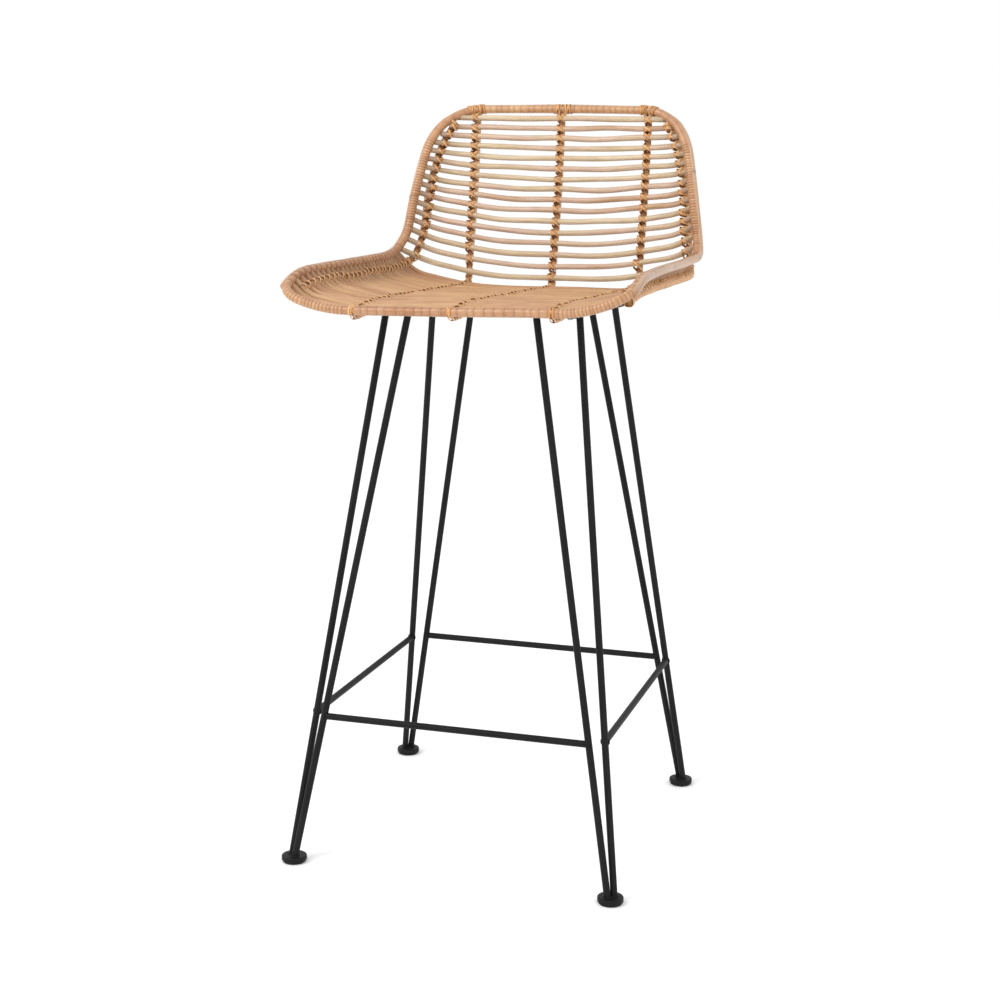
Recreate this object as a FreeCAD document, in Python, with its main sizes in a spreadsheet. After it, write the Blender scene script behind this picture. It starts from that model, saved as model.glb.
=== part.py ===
import FreeCAD, Part
import math
import os

import Sketcher

# Bar stool: a rattan shell seat (rim pole, five ribs, cross reeds) screwed to a
# welded steel-rod base with a footrest ring and four disc feet.
# Millimetres, +Z up, the stool faces -Y, and the origin is at the middle of the
# bounding box's base. The model is laid out about the centre of the four feet,
# then every sub-part's Placement moves it back by frame_shift.

Vec = FreeCAD.Vector

DIMENSIONS = (
    ("foot_half_x", 200.0, "feet, half the spacing from side to side"),
    ("foot_half_y", 206.8, "feet, half the spacing from front to back"),
    ("disc_dia", 31.0, "steel foot disc, diameter"),
    ("disc_thick", 5.2, "steel foot disc, thickness"),
    ("disc_round", 1.4, "steel foot disc, rounded top edge"),
    ("glide_dia", 29.0, "plastic glide, diameter"),
    ("glide_thick", 3.2, "plastic glide, thickness of its pad"),
    ("glide_edge", 1.2, "plastic glide, chamfer round its lower edge"),
    ("peg_dia", 6.0, "plastic glide, diameter of its peg"),
    ("peg_rise", 3.5, "plastic glide, height of its peg"),
    ("peg_hole_dia", 6.2, "steel foot disc, hole for the peg"),
    ("rod_dia", 8.4, "leg rods, diameter"),
    ("rod_offset_near", 2.8, "leg rods, offset on the disc across their pair"),
    ("rod_offset_far", 3.7, "leg rods, offset on the disc away from their pair"),
    ("rod_top_level", 669.0, "leg rods, level at which their top places are given"),
    ("facing_top_x", 79.2, "front and back rods, half spacing at that level"),
    ("facing_top_y", 125.5, "front and back rods, distance from the middle there"),
    ("side_top_x", 120.7, "side rods, distance from the middle at that level"),
    ("side_top_y", 87.3, "side rods, half spacing at that level"),
    ("rung_dia", 8.2, "footrest rungs, diameter"),
    ("rung_level", 184.5, "footrest rungs, height of their axes"),
    ("bar_width", 15.0, "frame bars, width"),
    ("bar_thick", 2.2, "frame bars, thickness"),
    ("bar_inlet", 2.0, "frame bars, depth to which they are let in to the ribs"),
    ("bar_hole_dia", 4.0, "frame bars, screw holes"),
    ("rib_spacing", 119.0, "inner ribs, distance from the centre rib"),
    ("side_screw_y", 50.0, "side bars, half the spacing of their screws"),
    ("screw_dia", 3.5, "wood screws, shank diameter"),
    ("screw_length", 6.5, "wood screws, length under the head"),
    ("screw_head_dia", 7.0, "wood screws, head diameter"),
    ("screw_head_rise", 2.2, "wood screws, height of the head"),
    ("rim_dia", 11.4, "rim pole with its cane wrap, diameter"),
    ("rib_dia", 8.0, "ribs, diameter"),
    ("reed_dia", 7.8, "cross reeds, diameter"),
    ("lay_gap", 0.15, "clear space where one pole lies on another"),
    ("joint_gap", 0.3, "clear space where a pole ends at the rim"),
    ("seat_back_level", 666.8, "ribs, level of the corner between seat and back"),
    ("seat_front_level", 678.7, "ribs, level of the front of the seat run"),
    ("seat_back_y", 227.0, "ribs, place of the corner between seat and back"),
    ("seat_front_y", -150.0, "ribs, place of the front of the seat run"),
    ("rib_nose_y", -197.0, "ribs, front ends under the rim"),
    ("rib_nose_level", 674.6, "ribs, level of their front ends"),
    ("back_reed_count", 16.0, "cross reeds of the back"),
    ("seat_reed_count", 29.0, "cross reeds of the seat"),
    ("first_reed_drop", 7.5, "top reed, distance along the rib from its top end"),
    ("reed_pitch", 12.85, "cross reeds of the back, pitch at the top"),
    ("reed_pitch_growth", 0.1, "cross reeds of the back, growth of the pitch"),
    ("bend_gap", 31.0, "distance along the rib round the bend, from the last back reed to the first of the seat"),
    ("last_reed_inset", 7.0, "front reed, distance along the rib from its nose"),
    ("reed_end_climb", 2.5, "back reeds, how much more each one's ends climb"),
    ("seat_end_pitch", 11.2, "seat reeds, pitch of the back ones' ends, which fan out from the corner"),
    ("side_rim_level", 705.0, "rim, its sides are all above this level"),
    ("front_spread", 0.95, "seat reeds, spacing of the front ones' ends against their middles"),
)

# Right half of the rim's centre line, from the middle of the front edge round
# the side and up to the middle of the back.
RIM_CORNERS = (
    Vec(150, -205, 684),
    Vec(206, -210, 703.5),
    Vec(207, -150, 722),
    Vec(198, -30, 721),
    Vec(199, 130, 720),
    Vec(206, 186, 725),
    Vec(200, 210, 745),
    Vec(191, 217, 802),
    Vec(178, 235, 866),
    Vec(161, 250, 894),
    Vec(130, 268, 911),
)
RIM_FRONT = Vec(0, -202, 683)
RIM_TOP = Vec(0, 272, 912)

doc = FreeCAD.newDocument("bar_stool")
sheet = doc.addObject("Spreadsheet::Sheet", "dims")
for row, (alias, value, meaning) in enumerate(DIMENSIONS, start=1):
    sheet.set("A%d" % row, meaning)
    sheet.set("B%d" % row, str(value))
    sheet.setAlias("B%d" % row, alias)
doc.recompute()

subparts = []


def dim(alias):
    """The value of one cell of the sheet."""
    return float(getattr(sheet, alias))


foot_top = dim("glide_thick") + dim("disc_thick")
back_face = RIM_TOP.y + dim("rim_dia") / 2
front_face = -dim("foot_half_y") - dim("disc_dia") / 2
frame_shift = Vec(0, -(back_face + front_face) / 2, 0)

# The seat run of the ribs slopes down to the back, and the steel frame under it
# lies in the same slope.
seat_run = Vec(0, dim("seat_back_y") - dim("seat_front_y"), dim("seat_back_level") - dim("seat_front_level"))
seat_tilt = math.degrees(math.atan2(-seat_run.z, seat_run.y))
rib_level_at_middle = dim("seat_back_level") - dim("seat_back_y") * seat_run.z / seat_run.y
rib_under_level = rib_level_at_middle - dim("rib_dia") / 2
bar_under_level = rib_under_level + dim("bar_inlet") - dim("lay_gap") - dim("bar_thick")


def keep(subpart, label, place=None):
    """Name a finished sub-part, put it in the model's frame and list it."""
    subpart.Label = label
    place = place or FreeCAD.Placement()
    subpart.Placement = FreeCAD.Placement(frame_shift, FreeCAD.Rotation()).multiply(place)
    subparts.append(subpart)
    return subpart


def frame_plane(x, y, turn=0.0):
    """A place in the sloping plane of the bars' undersides."""
    slope = FreeCAD.Placement(Vec(0, 0, bar_under_level), FreeCAD.Rotation(Vec(1, 0, 0), -seat_tilt))
    return slope.multiply(FreeCAD.Placement(Vec(x, y, 0), FreeCAD.Rotation(Vec(0, 0, 1), turn)))


def origin_plane(body, role):
    """One of a body's own origin planes."""
    return next(item for item in body.Origin.OriginFeatures if item.Role == role)


def circle_sketch(body, name, level, circles):
    """A sketch of round outlines parallel to the body's XY plane.

    Each circle is (x, y, expression for its radius)."""
    sketch = body.newObject("Sketcher::SketchObject", name)
    sketch.AttachmentSupport = [(origin_plane(body, "XY_Plane"), "")]
    sketch.MapMode = "FlatFace"
    sketch.AttachmentOffset = FreeCAD.Placement(Vec(0, 0, level), FreeCAD.Rotation())
    for number, (x, y, radius) in enumerate(circles):
        sketch.addGeometry(Part.Circle(Vec(x, y, 0), Vec(0, 0, 1), 1.0), False)
        size = sketch.addConstraint(Sketcher.Constraint("Radius", number, 1.0))
        sketch.renameConstraint(size, "radius_%d" % number)
        sketch.setExpression("Constraints.radius_%d" % number, radius)
        across = sketch.addConstraint(Sketcher.Constraint("DistanceX", -1, 1, number, 3, x))
        along = sketch.addConstraint(Sketcher.Constraint("DistanceY", -1, 1, number, 3, y))
        sketch.setDatum(across, x)
        sketch.setDatum(along, y)
    return sketch


def rectangle_sketch(body, name, width, depth):
    """A rectangle centred on the body's origin, its sizes given as expressions."""
    sketch = body.newObject("Sketcher::SketchObject", name)
    sketch.AttachmentSupport = [(origin_plane(body, "XY_Plane"), "")]
    sketch.MapMode = "FlatFace"
    corners = (Vec(-5, -5, 0), Vec(5, -5, 0), Vec(5, 5, 0), Vec(-5, 5, 0))
    for number, corner in enumerate(corners):
        sketch.addGeometry(Part.LineSegment(corner, corners[(number + 1) % 4]), False)
    for number in range(4):
        sketch.addConstraint(Sketcher.Constraint("Coincident", number, 2, (number + 1) % 4, 1))
    for number, direction in enumerate(("Horizontal", "Vertical", "Horizontal", "Vertical")):
        sketch.addConstraint(Sketcher.Constraint(direction, number))
    sketch.addConstraint(Sketcher.Constraint("Symmetric", 0, 1, 1, 2, -1, 1))
    across = sketch.addConstraint(Sketcher.Constraint("DistanceX", 0, 1, 0, 2, 10.0))
    sketch.renameConstraint(across, "width")
    sketch.setExpression("Constraints.width", width)
    along = sketch.addConstraint(Sketcher.Constraint("DistanceY", 1, 1, 1, 2, 10.0))
    sketch.renameConstraint(along, "depth")
    sketch.setExpression("Constraints.depth", depth)
    return sketch


def pad(body, sketch, length):
    """Pad a sketch upwards by a length given as an expression."""
    feature = body.newObject("PartDesign::Pad", sketch.Name + "_pad")
    feature.Profile = sketch
    feature.setExpression("Length", length)
    doc.recompute()
    return feature


def pocket_through(body, sketch):
    """Cut a sketch right through the body, and make sure that it cuts."""
    before = body.Shape.Volume
    feature = body.newObject("PartDesign::Pocket", sketch.Name + "_pocket")
    feature.Profile = sketch
    feature.Type = "ThroughAll"
    feature.Midplane = True
    doc.recompute()
    if body.Shape.Volume >= before:
        raise RuntimeError(body.Name + ": the pocket cuts nothing")
    return feature


def round_edges_at(body, kind, level, radius, size):
    """Fillet or chamfer the round edges of one radius at one level."""
    tip = body.Tip
    names = []
    for number, edge in enumerate(tip.Shape.Edges, start=1):
        middle = edge.BoundBox.Center
        if abs(middle.z - level) < 0.01 and abs(edge.BoundBox.XLength / 2 - radius) < 0.05:
            names.append("Edge%d" % number)
    feature = body.newObject("PartDesign::" + kind, body.Name + "_" + kind.lower())
    feature.Base = (tip, names)
    feature.setExpression("Radius" if kind == "Fillet" else "Size", size)
    doc.recompute()
    return feature


# ---- Feet: a steel disc welded under each pair of rods, on a pegged glide ----

CORNERS = (("front_left", -1, -1), ("front_right", 1, -1), ("back_left", -1, 1), ("back_right", 1, 1))


def make_disc(corner, side, end):
    body = doc.addObject("PartDesign::Body", "disc_" + corner)
    pad(body, circle_sketch(body, "disc_outline_" + corner, 0, [(0, 0, "dims.disc_dia / 2")]), "dims.disc_thick")
    round_edges_at(body, "Fillet", dim("disc_thick"), dim("disc_dia") / 2, "dims.disc_round")
    pocket_through(body, circle_sketch(body, "disc_hole_" + corner, 0, [(0, 0, "dims.peg_hole_dia / 2")]))
    place = Vec(side * dim("foot_half_x"), end * dim("foot_half_y"), dim("glide_thick"))
    keep(body, "foot_disc_" + corner, FreeCAD.Placement(place, FreeCAD.Rotation()))


def make_glide(corner, side, end):
    body = doc.addObject("PartDesign::Body", "glide_" + corner)
    pad(body, circle_sketch(body, "glide_outline_" + corner, 0, [(0, 0, "dims.glide_dia / 2")]), "dims.glide_thick")
    round_edges_at(body, "Chamfer", 0, dim("glide_dia") / 2, "dims.glide_edge")
    peg = circle_sketch(body, "glide_peg_" + corner, dim("glide_thick"), [(0, 0, "dims.peg_dia / 2")])
    pad(body, peg, "dims.peg_rise")
    place = Vec(side * dim("foot_half_x"), end * dim("foot_half_y"), 0)
    keep(body, "glide_" + corner, FreeCAD.Placement(place, FreeCAD.Rotation()))


for foot in CORNERS:
    make_disc(*foot)
    make_glide(*foot)

# ---- Base: eight rods in four pairs, trimmed to the discs and to the bars ----

OVERRUN = 14.0
BLOCK = 700.0
BLOCK_HEIGHT = 60.0


def trim_block(name, level, tilt):
    """A block that clears everything past a rod's end, above or below a level."""
    block = doc.addObject("Part::Box", name)
    block.Length = BLOCK
    block.Width = BLOCK
    block.Height = BLOCK_HEIGHT
    drop = 0.0 if tilt else -BLOCK_HEIGHT
    turn = FreeCAD.Placement(Vec(0, 0, level), FreeCAD.Rotation(Vec(1, 0, 0), -tilt))
    block.Placement = turn.multiply(FreeCAD.Placement(Vec(-BLOCK / 2, -BLOCK / 2, drop), FreeCAD.Rotation()))
    return block


trims = doc.addObject("Part::Compound", "rod_trims")
trims.Links = [trim_block("below_the_discs", foot_top, 0.0), trim_block("above_the_frame", bar_under_level, seat_tilt)]


def rod_axis(side, end, facing):
    """Where a rod's axis starts on its disc and where it is at the frame's level."""
    near = dim("rod_offset_near")
    far = dim("rod_offset_far")
    if facing:
        foot = Vec(side * (dim("foot_half_x") - near), end * (dim("foot_half_y") + far), foot_top)
        top = Vec(side * dim("facing_top_x"), end * dim("facing_top_y"), dim("rod_top_level"))
    else:
        foot = Vec(side * (dim("foot_half_x") + far), end * (dim("foot_half_y") - near), foot_top)
        top = Vec(side * dim("side_top_x"), end * dim("side_top_y"), dim("rod_top_level"))
    return foot, top


def at_level(foot, top, level):
    """The point of a rod's axis at one level."""
    return foot + (top - foot) * ((level - foot.z) / (top.z - foot.z))


def round_bar(name, first, last, diameter):
    """A Part::Cylinder between two points, its radius bound to the sheet."""
    bar = doc.addObject("Part::Cylinder", name)
    bar.setExpression("Radius", "dims.%s / 2" % diameter)
    bar.Height = (last - first).Length
    bar.Placement = FreeCAD.Placement(first, FreeCAD.Rotation(Vec(0, 0, 1), last - first))
    return bar


def cut(name, base, tool):
    """Base less tool."""
    result = doc.addObject("Part::Cut", name)
    result.Base = base
    result.Tool = tool
    return result


rods = {}
for corner, side, end in CORNERS:
    for facing in (True, False):
        foot, top = rod_axis(side, end, facing)
        run = (top - foot).normalize() * OVERRUN
        kind = ("front" if end < 0 else "back") if facing else "side"
        name = "%s_rod_%s" % (kind, corner)
        rods[corner, facing] = round_bar(name + "_stock", foot - run, top + run, "rod_dia")
        keep(cut(name, rods[corner, facing], trims), name)

# ---- Footrest: four rungs, each coped to the two rods that it is welded to ----


def make_rung(name, first, last, facing):
    """A rung between the like rods of two corners."""
    ends = []
    for corner, side, end in (first, last):
        ends.append(at_level(*rod_axis(side, end, facing), dim("rung_level")))
    stock = round_bar(name + "_stock", ends[0], ends[1], "rung_dia")
    pair = doc.addObject("Part::Compound", name + "_cope")
    pair.Links = [rods[first[0], facing], rods[last[0], facing]]
    keep(cut(name, stock, pair), name)


front_left, front_right, back_left, back_right = CORNERS
make_rung("front_rung", front_left, front_right, True)
make_rung("back_rung", back_left, back_right, True)
make_rung("left_rung", front_left, back_left, False)
make_rung("right_rung", front_right, back_right, False)

# ---- Seat frame: four flat bars in one sloping plane, welded on the rod tops ----


def make_bar(name, x, y, turn, length, holes):
    """A flat bar with screw holes, its length given as an expression."""
    body = doc.addObject("PartDesign::Body", name + "_body")
    pad(body, rectangle_sketch(body, name + "_outline", length, "dims.bar_width"), "dims.bar_thick")
    pocket_through(body, circle_sketch(body, name + "_holes", 0, [(u, v, "dims.bar_hole_dia / 2") for u, v in holes]))
    keep(body, name, frame_plane(x, y, turn))


def make_housing(name, x, y, turn, length):
    """The room for a flat bar that is cut in the ribs, a little wider and deeper than the bar."""
    box = doc.addObject("Part::Box", name + "_housing")
    box.setExpression("Length", length)
    box.setExpression("Width", "dims.bar_width + 2 * dims.lay_gap")
    box.setExpression("Height", "dims.bar_thick + dims.lay_gap")
    doc.recompute()
    middle = FreeCAD.Placement(Vec(-box.Length.Value / 2, -box.Width.Value / 2, 0), FreeCAD.Rotation())
    box.Placement = frame_plane(x, y, turn).multiply(middle)
    housings.append(box)


housings = []
spacing = dim("rib_spacing")
screw_y = dim("side_screw_y")
facing_length = "2 * dims.side_top_x + dims.bar_width"
side_length = "2 * dims.facing_top_y - dims.bar_width"
for name, end in (("frame_bar_front", -1), ("frame_bar_back", 1)):
    make_bar(name, 0, end * dim("facing_top_y"), 0, facing_length, [(-spacing, 0), (0, 0), (spacing, 0)])
    make_housing(name, 0, end * dim("facing_top_y"), 0, facing_length)
for name, side in (("frame_bar_left", -1), ("frame_bar_right", 1)):
    inset = side * (dim("side_top_x") - spacing)
    make_bar(name, side * dim("side_top_x"), 0, 90, side_length, [(-screw_y, inset), (screw_y, inset)])
    make_housing(name, side * dim("side_top_x"), 0, 90, side_length + " - 2 * dims.lay_gap")

housing_group = doc.addObject("Part::Compound", "bar_housings")
housing_group.Links = housings

screw_places = [(x, end * dim("facing_top_y")) for x in (-spacing, 0, spacing) for end in (-1, 1)]
screw_places += [(side * spacing, end * screw_y) for side in (-1, 1) for end in (-1, 1)]


def make_screw():
    """One round-head wood screw, its head's seat at the origin, pointing up."""
    body = doc.addObject("PartDesign::Body", "screw_pattern")
    head = circle_sketch(body, "screw_head", -dim("screw_head_rise"), [(0, 0, "dims.screw_head_dia / 2")])
    pad(body, head, "dims.screw_head_rise")
    round_edges_at(body, "Fillet", -dim("screw_head_rise"), dim("screw_head_dia") / 2, "dims.screw_head_rise * 0.8")
    pad(body, circle_sketch(body, "screw_shank", 0, [(0, 0, "dims.screw_dia / 2")]), "dims.screw_length")
    return body


screw = make_screw()
screws = doc.addObject("Part::Feature", "screws")
screws.Shape = Part.makeCompound([screw.Shape.transformed(frame_plane(x, y).toMatrix()) for x, y in screw_places])
keep(screws, "frame_screws")

# ---- Shell: every pole is straight runs joined by tangent arcs, as steam bends it ----

ARC_SHARE = 0.45


def bent_path(points):
    """A wire along the points, with an arc at each corner."""
    edges = []
    start = points[0]
    for before, corner, after in zip(points, points[1:], points[2:]):
        back = before - corner
        on = after - corner
        reach = ARC_SHARE * min(back.Length, on.Length)
        back.normalize()
        on.normalize()
        half_turn = (math.pi - back.getAngle(on)) / 2
        radius = reach / math.tan(half_turn)
        middle = (back + on).normalize()
        centre = corner + middle * (radius / math.cos(half_turn))
        first = corner + back * reach
        last = corner + on * reach
        edges.append(Part.LineSegment(start, first).toShape())
        edges.append(Part.Arc(first, centre - middle * radius, last).toShape())
        start = last
    edges.append(Part.LineSegment(start, points[-1]).toShape())
    return Part.Wire(edges)


def bent_pole(name, points, diameter):
    """A round pole swept along its bent path, its radius bound to the sheet."""
    path = doc.addObject("Part::Feature", name + "_path")
    path.Shape = bent_path(points)
    section = doc.addObject("Part::Circle", name + "_section")
    section.setExpression("Radius", "dims.%s / 2" % diameter)
    section.Placement = FreeCAD.Placement(points[0], FreeCAD.Rotation(Vec(0, 0, 1), points[1] - points[0]))
    pole = doc.addObject("Part::Sweep", name + "_pole")
    pole.Sections = [section]
    pole.Spine = (path, ["Edge%d" % number for number in range(1, len(path.Shape.Edges) + 1)])
    pole.Solid = True
    pole.Frenet = False
    return pole


def mirrored(point):
    return Vec(-point.x, point.y, point.z)


# The rim is one pole bent into a loop. Its ends butt together at the middle of
# the front edge.
butt = Vec(dim("joint_gap"), 0, 0)
rim_right = list(RIM_CORNERS)
rim_left = [mirrored(point) for point in reversed(rim_right)]
rim_points = [RIM_FRONT + butt] + rim_right + [RIM_TOP] + rim_left + [RIM_FRONT - butt]
keep(bent_pole("rim", rim_points, "rim_dia"), "rim_pole")

rim_half = bent_path([RIM_FRONT] + rim_right + [RIM_TOP])
rim_line = rim_half.discretize(Number=int(rim_half.Length) + 1)
SIDE_TO_BACK = RIM_CORNERS[5]
turn_up = min(range(len(rim_line)), key=lambda place: rim_line[place].distanceToPoint(SIDE_TO_BACK))
rim_radius = dim("rim_dia") / 2
rib_radius = dim("rib_dia") / 2
BACK_BENDS = ((262, 815), (238, 712), (231.5, 690))
TOP_SETBACK = 1.0


def rib_corners(x, top):
    """The centre rib's corners, or an inner rib's, moved sideways by x."""
    seat = (("seat_back_y", "seat_back_level"), ("seat_front_y", "seat_front_level"), ("rib_nose_y", "rib_nose_level"))
    back_corners = [Vec(x, y, z) for y, z in BACK_BENDS]
    return [top] + back_corners + [Vec(x, dim(y), dim(z)) for y, z in seat]


def under_the_rim(x):
    """Where a rib's top end stops under the rim."""
    over = [point.z for point in rim_line[len(rim_line) // 2:] if abs(point.x - abs(x)) < rib_radius]
    return Vec(x, RIM_TOP.y - TOP_SETBACK, min(over) - rim_radius - dim("joint_gap"))


def make_rib(name, x):
    """A rib from the top of the rim down the back and forward under the seat."""
    points = rib_corners(x, under_the_rim(x))
    pole = bent_pole(name, points, "rib_dia")
    holes = doc.addObject("Part::Compound", name + "_holes")
    drills = []
    for number, (screw_x, screw_y_place) in enumerate(screw_places):
        if screw_x == x:
            drill = doc.addObject("Part::Cylinder", "%s_drill_%d" % (name, number))
            drill.setExpression("Radius", "dims.screw_dia / 2")
            drill.setExpression("Height", "dims.screw_length")
            drill.Placement = frame_plane(screw_x, screw_y_place)
            drills.append(drill)
    holes.Links = drills
    planed = cut(name + "_planed", pole, housing_group)
    keep(cut(name, planed, holes), name)


make_rib("centre_rib", 0)
make_rib("inner_rib_left", -spacing)
make_rib("inner_rib_right", spacing)

# ---- Cross reeds: laid inside the ribs, their ends let in to the rim ----

rib_half = bent_path(rib_corners(0, under_the_rim(0)))
rib_line = rib_half.discretize(Number=int(rib_half.Length) + 1)
lay = rib_radius + dim("reed_dia") / 2 + dim("lay_gap")
back_count = int(dim("back_reed_count"))
reed_count = back_count + int(dim("seat_reed_count"))
last_back = back_count - 1


def rib_distance(number):
    """How far down the rib a reed crosses it."""
    back = min(number, last_back)
    distance = dim("first_reed_drop") + dim("reed_pitch") * back + dim("reed_pitch_growth") * back * back
    if number > last_back:
        distance += dim("bend_gap")
        run = len(rib_line) - 1 - dim("last_reed_inset") - distance
        distance += run * (number - back_count) / (reed_count - 1 - back_count)
    return distance


def rib_station(distance, lift):
    """A point lifted off the rib towards the sitter, at a distance down the rib."""
    step = int(distance)
    here = rib_line[step]
    along = rib_line[step + 1] - here
    point = here + along * (distance - step)
    along.normalize()
    return point + Vec(0, along.z, -along.y) * lift


def rim_index(number):
    """Where along the rim a reed's right end meets it."""
    centre = rib_station(rib_distance(number), lay)
    if number < back_count:
        level = centre.z + dim("reed_end_climb") * number
        return min(range(turn_up, len(rim_line)), key=lambda place: abs(rim_line[place].z - level))
    fanned = rim_line[rim_index(last_back)].y - dim("seat_end_pitch") * (number - last_back)
    straight = centre.y * (dim("front_spread") if centre.y < 0 else 1)
    side_run = [place for place in range(turn_up) if rim_line[place].z > dim("side_rim_level")]
    return min(side_run, key=lambda place: abs(rim_line[place].y - min(fanned, straight)))


# A back reed bends near the middle and close to the rim; a seat reed keeps its
# level nearly to the side and then climbs to the rim. The last few back reeds
# pass from the one kind to the other.
SEAT_SHARES = {last_back - 2: 0.1, last_back - 1: 0.2, last_back: 0.3, back_count: 0.85}
BACK_FIRST_X, SEAT_FIRST_X = 70, 125
BACK_SECOND_X, SEAT_SECOND_X = 165, 184
BACK_TIP_RUN, SEAT_TIP_RUN = 26, 14
BACK_RISE, SEAT_RISE = 0.5, 0.37
BACK_FORWARD, SEAT_FORWARD = 0.1, 0.75
BACK_LEAN = 0.2
SLANT_ALLOWANCE = 0.75


def reed_corners(number):
    """Corners of a reed's right half: two bends, then its end on the rim's axis."""
    seat_share = SEAT_SHARES.get(number, 0 if number < back_count else 1)
    back_share = 1 - seat_share
    end = rim_line[rim_index(number)]
    first = rib_station(rib_distance(number), lay)
    rise = (end.z - first.z) * (BACK_RISE * back_share + SEAT_RISE * seat_share)
    lean = BACK_LEAN * rise * back_share
    forward = (end.y - first.y - lean) * (BACK_FORWARD * back_share + SEAT_FORWARD * seat_share)
    second = first + Vec(0, lean + forward, rise)
    first.x = BACK_FIRST_X * back_share + SEAT_FIRST_X * seat_share
    second_x = BACK_SECOND_X * back_share + SEAT_SECOND_X * seat_share
    second.x = min(second_x, end.x - BACK_TIP_RUN * back_share - SEAT_TIP_RUN * seat_share)
    return first, second, end


def reed_points(number):
    """All the corners of one reed, from its left end to its right end."""
    first, second, end = reed_corners(number)
    place = rim_index(number)
    rim_run = (rim_line[place + 2] - rim_line[place - 2]).normalize()
    reach = (end - second).normalize()
    slant = abs(reach.dot(rim_run))
    stop = rim_radius + dim("joint_gap") + dim("reed_dia") * SLANT_ALLOWANCE * slant
    tip = end - reach * (stop / math.sqrt(1 - slant * slant))
    right = [first, second, tip]
    return [mirrored(point) for point in reversed(right)] + right


def make_reed(number):
    return bent_pole("reed_%02d" % (number + 1), reed_points(number), "reed_dia")


for number in range(back_count):
    keep(make_reed(number), "back_reed_%02d" % (number + 1))

GROUP = 4
for group, first_reed in enumerate(range(back_count, reed_count, GROUP), start=1):
    bundle = doc.addObject("Part::Compound", "seat_reed_group_%d" % group)
    bundle.Links = [make_reed(number) for number in range(first_reed, min(first_reed + GROUP, reed_count))]
    keep(bundle, "seat_reeds_%d" % group)

# ---- Outer ribs: laid outside the reeds, just inside and under the side rims ----

OUTER_CROSSINGS = (1, 3, 6, 9, 11, 13, 14, 15, 16, 17, 18, 20, 23, 28, 34, 40, 43)
REACH_TO_RIM = 0.42
OUTER_GAP = 0.9
CROWN_REACH = 4
NOSE_REACH = 12
SITTER = Vec(0, 0, 800)


def outer_crossing(number):
    """The point of a reed that the outer rib crosses."""
    first, second, end = reed_corners(number)
    return second + (end - second) * REACH_TO_RIM


def outer_corner(number):
    """The outer rib's corner outside one reed."""
    first, second, end = reed_corners(number)
    point = outer_crossing(number)
    along = outer_crossing(number + 1) - outer_crossing(number - 1)
    outward = (end - second).cross(along).normalize()
    if outward.dot(point - SITTER) < 0:
        outward = -outward
    return point + outward * (lay + OUTER_GAP)


outer_right = [outer_corner(number) for number in OUTER_CROSSINGS]
crown = outer_right[0] + (outer_right[0] - outer_right[1]).normalize() * CROWN_REACH
nose = outer_right[-1] + (outer_right[-1] - outer_right[-2]).normalize() * NOSE_REACH
outer_right = [crown] + outer_right[1:-1] + [nose]
keep(bent_pole("outer_rib_right", outer_right, "rib_dia"), "outer_rib_right")
keep(bent_pole("outer_rib_left", [mirrored(point) for point in outer_right], "rib_dia"), "outer_rib_left")

# ---- Check every object, then write each sub-part to its own file ----

doc.recompute()
for item in doc.Objects:
    if "Invalid" in item.State or "Error" in item.State:
        raise RuntimeError("%s did not compute: %s" % (item.Label, item.State))
for subpart in subparts:
    if subpart.Shape.isNull() or not subpart.Shape.isValid() or not subpart.Shape.Solids:
        raise RuntimeError("%s has no valid solid" % subpart.Label)

os.makedirs("parts", exist_ok=True)
for subpart in subparts:
    subpart.Shape.exportStep(os.path.join("parts", subpart.Label + ".step"))
print("%d sub-parts, %d solids" % (len(subparts), sum(len(subpart.Shape.Solids) for subpart in subparts)))
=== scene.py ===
import math
import random

import bmesh
import bpy
import numpy as np
from mathutils import Matrix, Vector


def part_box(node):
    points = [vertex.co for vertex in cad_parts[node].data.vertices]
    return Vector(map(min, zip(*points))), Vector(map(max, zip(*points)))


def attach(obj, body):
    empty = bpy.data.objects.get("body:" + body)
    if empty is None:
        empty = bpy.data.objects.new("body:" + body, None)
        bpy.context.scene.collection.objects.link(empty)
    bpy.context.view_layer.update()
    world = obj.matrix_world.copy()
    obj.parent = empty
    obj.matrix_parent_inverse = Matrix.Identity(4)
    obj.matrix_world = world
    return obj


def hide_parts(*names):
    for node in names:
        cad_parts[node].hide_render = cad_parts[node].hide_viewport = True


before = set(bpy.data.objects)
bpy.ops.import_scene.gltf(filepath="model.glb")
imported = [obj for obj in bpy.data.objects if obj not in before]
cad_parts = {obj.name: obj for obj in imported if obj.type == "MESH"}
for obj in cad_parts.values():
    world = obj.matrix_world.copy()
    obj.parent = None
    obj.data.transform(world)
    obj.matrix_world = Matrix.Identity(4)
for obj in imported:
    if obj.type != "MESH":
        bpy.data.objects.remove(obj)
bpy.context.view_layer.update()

# A rattan bar stool: a shell of round reeds laced to five ribs inside a bent rim, on welded steel rods.
# Lengths are in metres. +Z is up, -Y is the open front of the seat, and the floor is at z = 0.
random.seed(45)


# ---------------------------------------------------------------- camera
# The stool is looked at from a little above the seat, from the sitter's front and slightly to one side.
VIEW_TURN = math.radians(16.89)
VIEW_RISE = math.radians(11.71)
VIEW_ROLL = math.radians(0.47)
VIEW_DISTANCE = 2.2802
AIM = Vector((-0.0016, -0.0279, 0.4272))
LENS_MM = 65.1
SENSOR_MM = 36.0

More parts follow.
